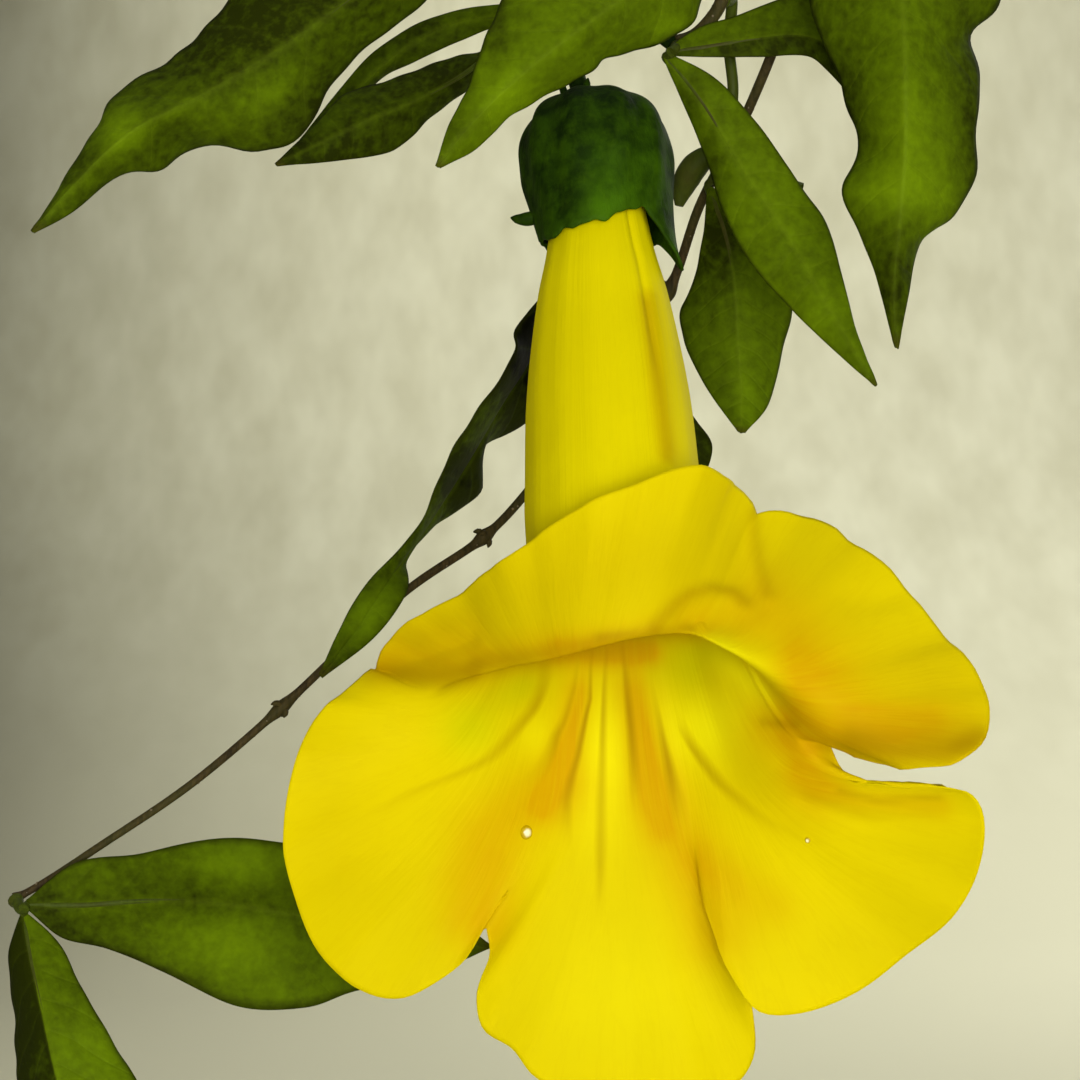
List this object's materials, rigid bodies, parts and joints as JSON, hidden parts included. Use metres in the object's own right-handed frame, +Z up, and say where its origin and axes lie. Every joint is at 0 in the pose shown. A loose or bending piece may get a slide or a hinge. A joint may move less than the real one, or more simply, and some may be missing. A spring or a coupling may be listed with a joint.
{
  "type": "flowering vine cutting in vase",
  "caption": "Twining vine cutting that arches out of a plain bottle vase and hangs, with an open yellow trumpet flower and paired waved leaflets, for display on a table or shelf.",
  "frame": {"origin": "centre of the vase's flat foot", "axes": "+Z up along the vase's axis; the vine arches over to -X, and the flower faces -Y, which the picture looks along from"},
  "size_m": [0.1963, 0.1083, 0.3781],
  "materials": {
    "vase_glaze": "gloss",
    "water": "gloss",
    "stem": "matte",
    "calyx": "satin",
    "petal": "matte",
    "stamen": "matte",
    "leaf": "satin"
  },
  "bodies": {
    "root": {"vase": "vase_glaze", "water": "water", "vine_stem": "stem", "calyx": "calyx", "corolla": "petal", "pistil_and_stamens": "stamen", "leaf_upper_left": "leaf", "leaf_over_flower": "leaf", "leaf_right_of_flower": "leaf", "leaf_behind_flower_node": "leaf", "leaf_right_behind": "leaf", "leaf_left_of_tube": "leaf", "leaf_lower_left": "leaf", "leaf_above_vase": "leaf", "leaf_mid_stem": "leaf", "leaf_at_peak": "leaf"}
  },
  "joints": []
}
